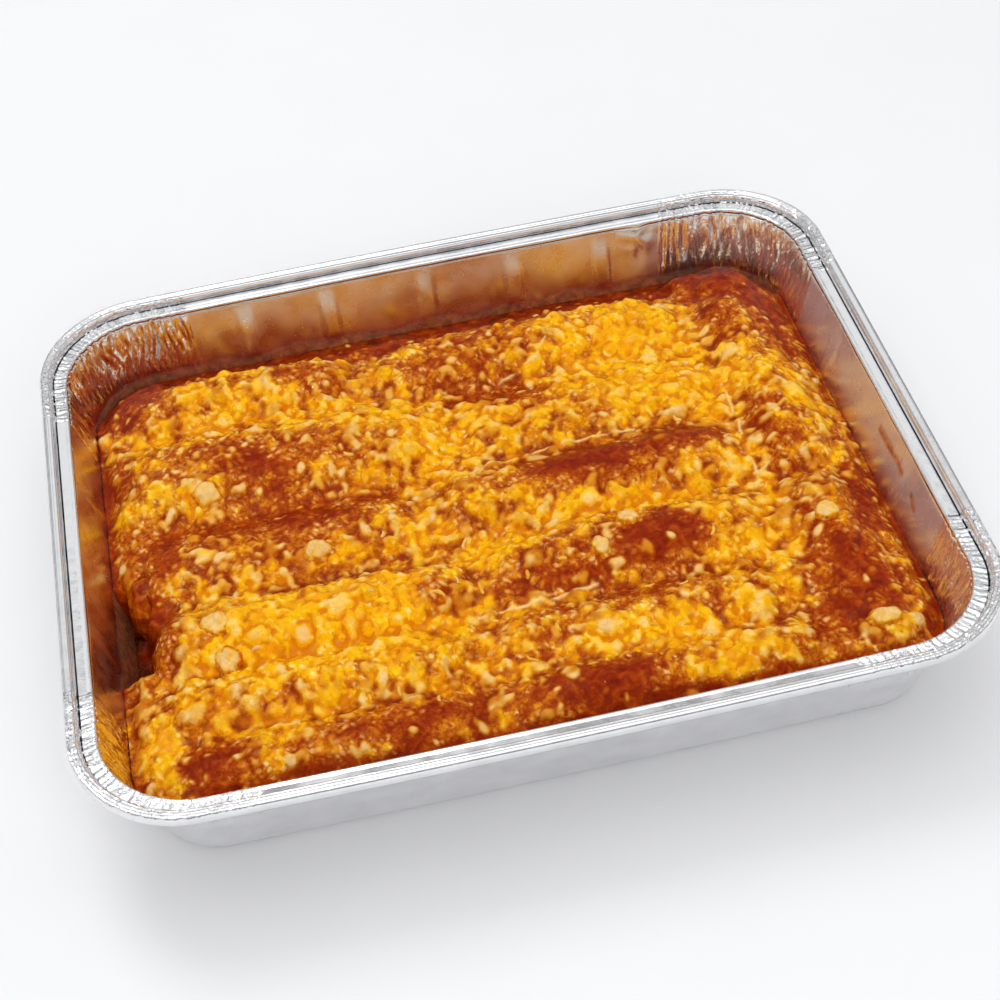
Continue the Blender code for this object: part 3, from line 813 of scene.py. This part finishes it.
def cell_faces(keep):
    """Quads of a grid where keep is set, as indices of the whole grid."""
    rows, columns = keep.shape
    i, j = np.nonzero(keep)
    width = columns + 1
    a = i * width + j
    return np.stack((a, a + width, a + width + 1, a + 1), axis=1)


def used_only(points, faces, attributes):
    """Drop the points that no face uses."""
    used = np.unique(faces)
    where = np.full(len(points), -1)
    where[used] = np.arange(len(used))
    return points[used], where[faces].tolist(), {key: values[used] for key, values in attributes.items()}


def pushed_inside(x, y, z):
    """The same places, with those outside the wall's food side moved just inside it."""
    probe = 0.05
    for _ in range(3):
        away = inside_wall(x, y, z) - WALL_GAP
        slope_x = inside_wall(x + probe, y, z) - inside_wall(x - probe, y, z)
        slope_y = inside_wall(x, y + probe, z) - inside_wall(x, y - probe, z)
        norm = np.maximum(np.hypot(slope_x, slope_y), 1e-9)
        push = np.minimum(away, 0.0)
        x = x - push * slope_x / norm
        y = y - push * slope_y / norm
    return x, y


def food_pieces(surface, cheese_material, sauce_material):
    """The cheese in its two columns, and the sauce round it, as one unbroken skin."""
    beyond = np.maximum(WALL_GAP - inside_wall(surface.x, surface.y, surface.z), 0.0)
    z = surface.z - TUCK * np.minimum(beyond, 1.0)
    x, y = pushed_inside(surface.x, surface.y, z)
    inside = beyond < 0.95
    keep = inside[:-1, :-1] | inside[1:, :-1] | inside[1:, 1:] | inside[:-1, 1:]
    points = np.stack((x, y, z), axis=-1).reshape(-1, 3)
    attributes = {key: getattr(surface, key).ravel() for key in ("amount", "bit", "tone", "hollow", "fold")}
    ragged = blur((surface.cheese_top > 0.0).astype(float), 1.2)
    ragged += 0.25 * noise(surface.x / 4.0, surface.y / 4.0, 111)
    cheese = (ragged > 0.5)[:-1, :-1]
    wander = 3.0 * noise(surface.y / 7.0, surface.x * 0.0, 112)
    in_left = (surface.x + wander < COLUMN_EDGE)[:-1, :-1]
    pieces = []
    for name, mask, material, slot in (
        ("melted_cheese_left", cheese & in_left, cheese_material, "melted_cheese"),
        ("melted_cheese_right", cheese & ~in_left, cheese_material, "melted_cheese"),
        ("red_sauce", ~cheese, sauce_material, "sauce"),
    ):
        corners, faces, values = used_only(points, cell_faces(keep & mask), attributes)
        pieces.append(make_piece(name, corners, faces, material, values))
    return pieces


def make_lump(name, surface, material, seed):
    """A thick pale lump in the place of the frame's small solid."""
    low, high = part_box(name)
    centre = (low + high) / 2.0 / METRES
    wide = (high.x - low.x) / METRES / 2.0
    deep = (high.y - low.y) / METRES / 2.0
    share = np.linspace(0.0, 1.0, LUMP_RINGS + 1)[1:, None]
    angle = np.linspace(0.0, 2.0 * math.pi, LUMP_SIDES, endpoint=False)[None, :]
    reach = 0.92 + 0.22 * noise(1.2 * np.cos(angle) + 7.0, 1.2 * np.sin(angle), seed)
    x = centre.x + wide * share * reach * np.cos(angle)
    y = centre.y + deep * share * reach * np.sin(angle)
    dome = (1.0 - share**2.0) ** 0.7
    z = surface.smooth[surface.nearest(x, y)] - 0.3 + LUMP_HEIGHT * dome
    z = z + dome * (1.1 * noise(x / 4.6, y / 4.6, seed + 1) + 0.25 * noise(x / 1.8, y / 1.8, seed + 2))
    top = np.array([[centre.x, centre.y, z[0].mean() + 0.02]])
    points = np.concatenate((top, np.stack((x, y, z), axis=-1).reshape(-1, 3)))
    around = [(k, (k + 1) % LUMP_SIDES) for k in range(LUMP_SIDES)]
    faces = [[0, 1 + k, 1 + after] for k, after in around]
    for ring in range(LUMP_RINGS - 1):
        near = 1 + ring * LUMP_SIDES
        far = near + LUMP_SIDES
        faces += [[near + k, far + k, far + after, near + after] for k, after in around]
    flat = np.zeros(len(points))
    attributes = {
        "amount": flat + LUMP_AMOUNT,
        "bit": np.concatenate(([1.0], np.broadcast_to(step_up(1.0, 0.55, share), x.shape).ravel())),
        "tone": 0.86 + 0.30 * noise(points[:, 0] / 2.8, points[:, 1] / 2.8, seed + 3),
        "hollow": flat,
        "fold": flat,
    }
    piece = make_piece(name + "_melted", points, faces, material, attributes)
    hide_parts(name)


def shred_rings(x, y, z, heading, radius):
    """Rings of a flattened tube along a shred, thin at both ends."""
    a = np.linspace(0.0, 2.0 * math.pi, SHRED_SIDES, endpoint=False)
    rings = []
    for k in range(SHRED_JOINTS):
        r = radius * (0.25 + 0.75 * math.sin(math.pi * (k + 0.35) / (SHRED_JOINTS - 0.3)) ** 0.5)
        ring_x = x[k] - np.sin(heading[k]) * r * np.cos(a)
        ring_y = y[k] + np.cos(heading[k]) * r * np.cos(a)
        ring_z = z[k] + 0.8 * r * np.sin(a)
        rings.append(np.stack((ring_x, ring_y, ring_z), axis=1))
    return rings


def shred_faces(first):
    """Quads between a shred's rings, and a cap on each end."""
    around = [(m, (m + 1) % SHRED_SIDES) for m in range(SHRED_SIDES)]
    faces = []
    for k in range(SHRED_JOINTS - 1):
        near = first + k * SHRED_SIDES
        far = near + SHRED_SIDES
        faces += [[near + m, near + after, far + after, far + m] for m, after in around]
    last = first + (SHRED_JOINTS - 1) * SHRED_SIDES
    faces.append(list(range(first, first + SHRED_SIDES))[::-1])
    faces.append(list(range(last, last + SHRED_SIDES)))
    return faces


def make_shreds(surface, material):
    """Thin half-melted shreds that lie on the cheese."""
    rng = np.random.default_rng(121)
    points, faces, tones = [], [], []
    px, py, _ = surface.scatter(SHRED_PITCH, (-0.5, 0.2, 1.0), (0.03, 0.22, 0.12), 122)
    for x0, y0 in zip(px, py):
        length = rng.uniform(2.8, 5.5)
        radius = rng.uniform(0.60, 1.0)
        turn = rng.uniform(0.0, 2.0 * math.pi)
        bend = rng.uniform(-1.6, 1.6)
        heading = turn + bend * np.linspace(-0.5, 0.5, SHRED_JOINTS)
        x = x0 + np.cumsum(np.cos(heading)) * length / SHRED_JOINTS
        y = y0 + np.cumsum(np.sin(heading)) * length / SHRED_JOINTS
        if inside_wall(x, y, SAUCE_LEVEL).min() < 3.0:
            continue
        z = surface.z[surface.nearest(x, y)] - 0.15
        z = np.convolve(np.pad(z, 1, mode="edge"), (0.25, 0.5, 0.25), mode="valid")
        tones += [rng.uniform(0.45, 0.85)] * (SHRED_JOINTS * SHRED_SIDES)
        faces += shred_faces(len(points) * SHRED_SIDES)
        points += shred_rings(x, y, z, heading, radius)
    flat = np.zeros(len(tones))
    attributes = {"amount": flat + SHRED_AMOUNT, "bit": flat + 1.0, "tone": tones}
    attributes.update(hollow=flat, fold=flat)
    make_piece("cheese_shreds", np.concatenate(points), faces, material, attributes)


# Materials


def fill_ramp(node, stops):
    """Give a colour ramp its stops, each a position and a colour."""
    elements = node.color_ramp.elements
    while len(elements) < len(stops):
        elements.new(0.5)
    for element, (position, colour) in zip(elements, stops):
        element.position = position
        element.color = (*colour, 1.0)


class Shading:
    """A node material built up call by call."""

    def __init__(self, name):
        self.material = bpy.data.materials.new(name)
        self.material.use_nodes = True
        self.tree = self.material.node_tree
        self.shader = self.tree.nodes["Principled BSDF"]
        self.place = self.node("ShaderNodeTexCoord").outputs["Object"]

    def node(self, kind, inputs=None, **settings):
        made = self.tree.nodes.new(kind)
        for key, value in settings.items():
            setattr(made, key, value)
        for key, value in (inputs or {}).items():
            self.link(value, made.inputs[key])
        return made

    def link(self, source, target):
        """Join an output to a socket, or set the socket to a constant; colours come without alpha."""
        if isinstance(source, bpy.types.NodeSocket):
            self.tree.links.new(source, target)
        elif target.type == "RGBA":
            target.default_value = (*source, 1.0)
        else:
            target.default_value = source

    def attribute(self, name):
        return self.node("ShaderNodeAttribute", attribute_name=name).outputs["Fac"]

    def math(self, operation, a, b):
        return self.node("ShaderNodeMath", {0: a, 1: b}, operation=operation).outputs[0]

    def times(self, a, b):
        return self.math("MULTIPLY", a, b)

    def plus(self, a, b):
        return self.math("ADD", a, b)

    def minus(self, a, b):
        return self.math("SUBTRACT", a, b)

    def range(self, value, low, high, to_low=0.0, to_high=1.0):
        """A value brought smoothly from one range to another."""
        inputs = {"Value": value, "From Min": low, "From Max": high, "To Min": to_low, "To Max": to_high}
        return self.node("ShaderNodeMapRange", inputs, interpolation_type="SMOOTHSTEP").outputs["Result"]

    def noise(self, size, detail=2.0, distortion=0.0, stretch=(1.0, 1.0, 1.0)):
        """Noise whose cells measure size millimetres."""
        place = self.node("ShaderNodeMapping", {"Vector": self.place, "Scale": stretch}).outputs["Vector"]
        inputs = {"Vector": place, "Scale": 1.0 / (size * METRES), "Detail": detail, "Distortion": distortion}
        return self.node("ShaderNodeTexNoise", inputs).outputs["Fac"]

    def grains(self, size, stretch, turn, wobble):
        """Drawn-out cells of size millimetres: distance from the middle, and each cell's own number."""
        bend = self.node("ShaderNodeTexNoise", {"Vector": self.place, "Scale": 1.0 / (2.0 * size * METRES)})
        inputs = {0: bend.outputs["Color"], 1: (wobble * METRES,) * 3, 2: self.place}
        bent = self.node("ShaderNodeVectorMath", inputs, operation="MULTIPLY_ADD")
        inputs = {"Vector": bent.outputs[0], "Rotation": (0.0, 0.0, turn), "Scale": (stretch, 1.0, 1.0)}
        place = self.node("ShaderNodeMapping", inputs, vector_type="TEXTURE").outputs["Vector"]
        made = self.node("ShaderNodeTexVoronoi", {"Vector": place, "Scale": 1.0 / (size * METRES)})
        return made.outputs["Distance"], made.outputs["Color"]

    def ramp(self, value, stops):
        made = self.node("ShaderNodeValToRGB", {"Fac": value})
        fill_ramp(made, stops)
        return made.outputs["Color"]

    def mix(self, factor, a, b):
        return self.node("ShaderNodeMix", {"Factor": factor, 6: a, 7: b}, data_type="RGBA").outputs[2]

    def bump(self, height, distance, strength):
        inputs = {"Height": height, "Distance": distance * METRES, "Strength": strength}
        return self.node("ShaderNodeBump", inputs).outputs["Normal"]

    def set(self, **inputs):
        for key, value in inputs.items():
            self.link(value, self.shader.inputs[key.replace("_", " ")])


def foil_material(name, greasy):
    """Bright foil; on its food side it is stained, cleaner high on the right, and marked with grease."""
    s = Shading(name)
    cloudy = s.noise(9.0, 3.0)
    fine = s.noise(0.9, 3.0, 0.4)
    streaks = s.noise(1.5, 2.0, 0.6, (1.0, 1.0, 0.16))
    creased = s.attribute("creased")
    if greasy:
        clean = s.attribute("clean")
        grease = s.attribute("grease")
        colour = s.mix(s.times(clean, 0.8), s.ramp(cloudy, STAINED_FOIL), CLEAN_FOIL)
        colour = s.mix(s.times(creased, 0.85), colour, CREASED_FOIL)
        colour = s.mix(s.range(grease, 0.0, 0.95), colour, s.ramp(s.noise(2.5, 3.0), GREASE))
        s.set(Metallic=s.minus(s.range(grease, 0.3, 1.0, 1.0, 0.5), s.times(clean, 0.32)))
        s.set(Specular_IOR_Level=0.15)
    else:
        colour = s.ramp(cloudy, OUTSIDE_FOIL)
        s.set(Metallic=1.0)
    s.set(Base_Color=colour)
    smooth, dull = (0.24, 0.32) if greasy else (0.12, 0.24)
    s.set(Roughness=s.minus(s.range(cloudy, 0.3, 0.7, smooth, dull), s.times(creased, 0.13)))
    plain = s.plus(s.times(fine, 0.25), s.times(streaks, 0.35))
    sharp = s.times(s.times(streaks, creased), 4.5)
    s.set(Normal=s.bump(s.plus(plain, sharp), 0.16, 0.6))
    return s.material


class FoodShading(Shading):
    """The patterns and the layers of colour of everything melted and sauced."""

    def __init__(self, name):
        super().__init__(name)
        self.amount = self.attribute("amount")
        self.speckle = self.noise(1.3, 3.0, 0.6)
        self.patch = self.noise(5.0, 3.0, 0.8)
        self.fine = self.noise(0.5, 2.0, 0.3)
        self.cloud = self.noise(7.0, 2.0, 0.5)
        depth_a, own_a = self.grains(2.4, 1.6, 0.5, 2.0)
        depth_b, own_b = self.grains(2.0, 1.8, 2.2, 1.6)
        which = self.range(self.cloud, 0.46, 0.54)
        self.depth = self.mix(which, depth_a, depth_b)
        self.own = self.mix(which, own_a, own_b)
        self.inner = self.range(self.depth, 0.60, 0.10)
        self.spread = self.minus(self.speckle, 0.5)
        ragged = self.plus(self.amount, self.times(self.spread, 0.55))
        self.ragged = self.plus(ragged, self.times(self.minus(self.inner, 0.5), 0.22))

    def sauce(self):
        """Bare sauce: deep, or oily near the cheese, with a few crumbs; painted shade nearly black where the
        cover is lowest, as in the sunken gap.
        """
        oily = self.ramp(self.speckle, OILY_SAUCE)
        deep = self.ramp(self.patch, DEEP_SAUCE)
        colour = self.mix(self.range(self.ragged, -0.8, 0.0, 0.0, 0.5), deep, oily)
        crumbs = self.times(self.inner, self.range(self.own, 0.50, 0.62))
        crumbs = self.times(crumbs, self.range(self.amount, -1.0, 0.0))
        colour = self.mix(self.times(crumbs, 0.55), colour, SAUCE_CRUMB)
        return self.mix(self.range(self.amount, -1.6, -2.6), colour, GAP_PAINTED_SHADE)

    def mixed(self):
        """Sauce with grains of cheese in it."""
        under = self.ramp(self.speckle, MIXED_UNDER)
        return self.mix(self.times(self.inner, 0.8), under, self.ramp(self.own, MIXED_GRAIN))

    def melted(self):
        """Thick melted cheese, in clouds of yellow and orange."""
        under = self.ramp(self.patch, CHEESE_UNDER)
        colour = self.mix(self.times(self.inner, 0.8), under, self.ramp(self.own, CHEESE_GRAIN))
        return self.mix(self.range(self.cloud, 0.56, 0.38, 0.0, 0.62), colour, ORANGE_CHEESE)

    def with_hollows(self, colour):
        """Painted shade: darker in the hollows, in the rings round the bits and between the grains."""
        sunk = self.times(self.range(self.attribute("hollow"), 0.05, 0.80), 0.85)
        # edge: painted shade where the grains meet
        edge = self.times(self.range(self.depth, 0.46, 0.64), self.range(self.amount, 0.1, 0.8, 0.35, 0.22))
        shade_colour = self.mix(self.range(self.amount, 0.2, 0.9), SAUCE_PAINTED_SHADE, CHEESE_PAINTED_SHADE)
        return self.mix(self.math("MAXIMUM", sunk, edge), colour, shade_colour)

    def with_bits(self, colour):
        """Paler bits, most in their middle."""
        bit = self.attribute("bit")
        centre = self.times(self.attribute("tone"), self.range(bit, 0.25, 1.0, 0.15, 1.05))
        on_sauce = self.ramp(centre, BIT_ON_SAUCE)
        light = self.mix(self.range(self.amount, 0.25, 0.85), on_sauce, self.ramp(centre, BIT_ON_CHEESE))
        shown = self.range(self.plus(bit, self.times(self.spread, 0.35)), 0.10, 1.0)
        return self.mix(self.times(shown, self.range(self.amount, 0.2, 1.0, 0.9, 0.6)), colour, light)

    def with_pits(self, colour):
        """Small dark pits in the cheese."""
        pits = self.times(self.range(self.fine, 0.66, 0.74), self.range(self.amount, 0.0, 0.5))
        return self.mix(self.times(pits, 0.7), colour, PIT)


def food_material(name, bare_roughness, cheese_roughness):
    s = FoodShading(name)
    colour = s.mix(s.range(s.ragged, -0.28, 0.40), s.sauce(), s.mixed())
    colour = s.mix(s.range(s.ragged, 0.34, 1.02), colour, s.melted())
    colour = s.with_pits(s.with_bits(s.with_hollows(colour)))
    # Painted highlight along the folds
    colour = s.mix(s.times(s.attribute("fold"), 0.85), colour, FOLD_PAINTED_HIGHLIGHT)
    cover = s.range(s.ragged, 0.1, 0.7)
    uneven = s.range(s.fine, 0.3, 0.7, -0.02, 0.03)
    s.set(Base_Color=colour, Specular_IOR_Level=0.10, Specular_Tint=GLOSS_TINT)
    s.set(Roughness=s.plus(uneven, s.range(cover, 0.0, 1.0, bare_roughness, cheese_roughness)))
    s.set(Normal=s.bump(s.noise(1.7, 2.0, 0.6), 0.8, 0.75))
    return s.material


def roll_material():
    s = Shading("sauced_tortilla")
    patch = s.noise(4.0, 3.0, 0.6)
    s.set(Base_Color=s.ramp(patch, ROLL_SAUCE), Specular_IOR_Level=0.06)
    s.set(Roughness=s.range(patch, 0.3, 0.7, 0.12, 0.20))
    s.set(Normal=s.bump(s.noise(1.8, 1.5), 0.9, 0.6))
    return s.material


def floor_material():
    s = Shading("pale_floor")
    s.set(Base_Color=s.ramp(s.noise(60.0), FLOOR))
    s.set(Roughness=s.range(s.noise(3.0), 0.3, 0.7, 0.75, 0.85))
    s.set(Normal=s.bump(s.noise(0.8), 0.05, 0.1))
    return s.material


# Stage


def make_floor():
    mesh = bpy.data.meshes.new("floor")
    corners = [(x * FLOOR_HALF, y * FLOOR_HALF, 0.0) for x, y in ((-1, -1), (1, -1), (1, 1), (-1, 1))]
    mesh.from_pydata(corners, [], [(0, 1, 2, 3)])
    mesh.materials.append(floor_material())
    add_object("floor", mesh)


def make_light(name, place, size, power, target=(0.0, 0.0, 0.0), glint=False):
    """A soft disk of light, or a small one that only shines in reflections."""
    data = bpy.data.lights.new(name, "AREA")
    data.shape = "DISK"
    data.size = size
    data.energy = power
    light = add_object(name, data)
    light.visible_glossy = glint
    light.visible_diffuse = not glint
    light.location = place
    light.rotation_euler = (Vector(target) - Vector(place)).to_track_quat("-Z", "Y").to_euler()


def make_world():
    """A white studio: bright overhead and at the horizon, with a grey band between."""
    world = bpy.data.worlds.new("studio")
    world.use_nodes = True
    tree = world.node_tree
    place = tree.nodes.new("ShaderNodeTexCoord")
    split = tree.nodes.new("ShaderNodeSeparateXYZ")
    ramp = tree.nodes.new("ShaderNodeValToRGB")
    tree.links.new(place.outputs["Generated"], split.inputs[0])
    tree.links.new(split.outputs["Z"], ramp.inputs["Fac"])
    fill_ramp(ramp, [(height, [grey * tint for tint in SKY_TINT]) for height, grey in SKY])
    tree.links.new(ramp.outputs["Color"], tree.nodes["Background"].inputs["Color"])
    tree.nodes["Background"].inputs["Strength"].default_value = SKY_STRENGTH
    bpy.context.scene.world = world


def make_camera():
    data = bpy.data.cameras.new("camera")
    data.sensor_width = 36.0
    data.lens = FOCAL * data.sensor_width / PICTURE
    data.shift_x = (PICTURE / 2.0 - CENTRE_U) / PICTURE
    data.shift_y = (CENTRE_V - PICTURE / 2.0) / PICTURE
    data.clip_start = 0.01
    data.clip_end = 20.0
    camera = add_object("camera", data)
    up = [-c for c in CAMERA_DOWN]
    back = [-c for c in CAMERA_FORWARD]
    turn = Matrix((CAMERA_RIGHT, up, back)).transposed().to_4x4()
    camera.matrix_world = Matrix.Translation(CAMERA_PLACE) @ turn
    bpy.context.scene.camera = camera


def build_tray():
    foil = foil_material("foil", False)
    walls = make_walls(foil, foil_material("foil_food_side", True))
    make_rim(foil)
    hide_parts("tray")


def build_food(nodes):
    """The skin of cheese and sauce over the rolls, then the lumps and shreds on it."""
    pale_look = food_material("pale_cheese", 0.10, 0.13)
    surface = Surface(nodes)
    surface.swell()
    surface.add_folds()
    surface.add_bits()
    surface.soften()
    looks = (food_material("melted_cheese", 0.05, 0.09), food_material("red_sauce", 0.05, 0.09))
    left, _, sauce = food_pieces(surface, *looks)
    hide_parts("cheese")
    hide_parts("sauce")
    for n in range(1, LUMPS + 1):
        make_lump(f"cheese_lump_{n}", surface, pale_look, 130 + 5 * n)
    make_shreds(surface, pale_look)
    tortilla = roll_material()
    for name, node in nodes.items():
        if name.startswith("enchilada"):
            node.data.materials.clear()
            node.data.materials.append(tortilla)


def build_stage():
    make_floor()
    make_world()
    make_light("key", *KEY)
    make_light("fill", *FILL)
    for glint in GLINTS:
        make_light("glint", *glint, target=GLINT_TARGET, glint=True)
    make_camera()
    bpy.context.scene.view_settings.view_transform = "Standard"


def main():
    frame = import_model()
    build_tray()
    build_food(frame["nodes"])
    build_stage()


main()
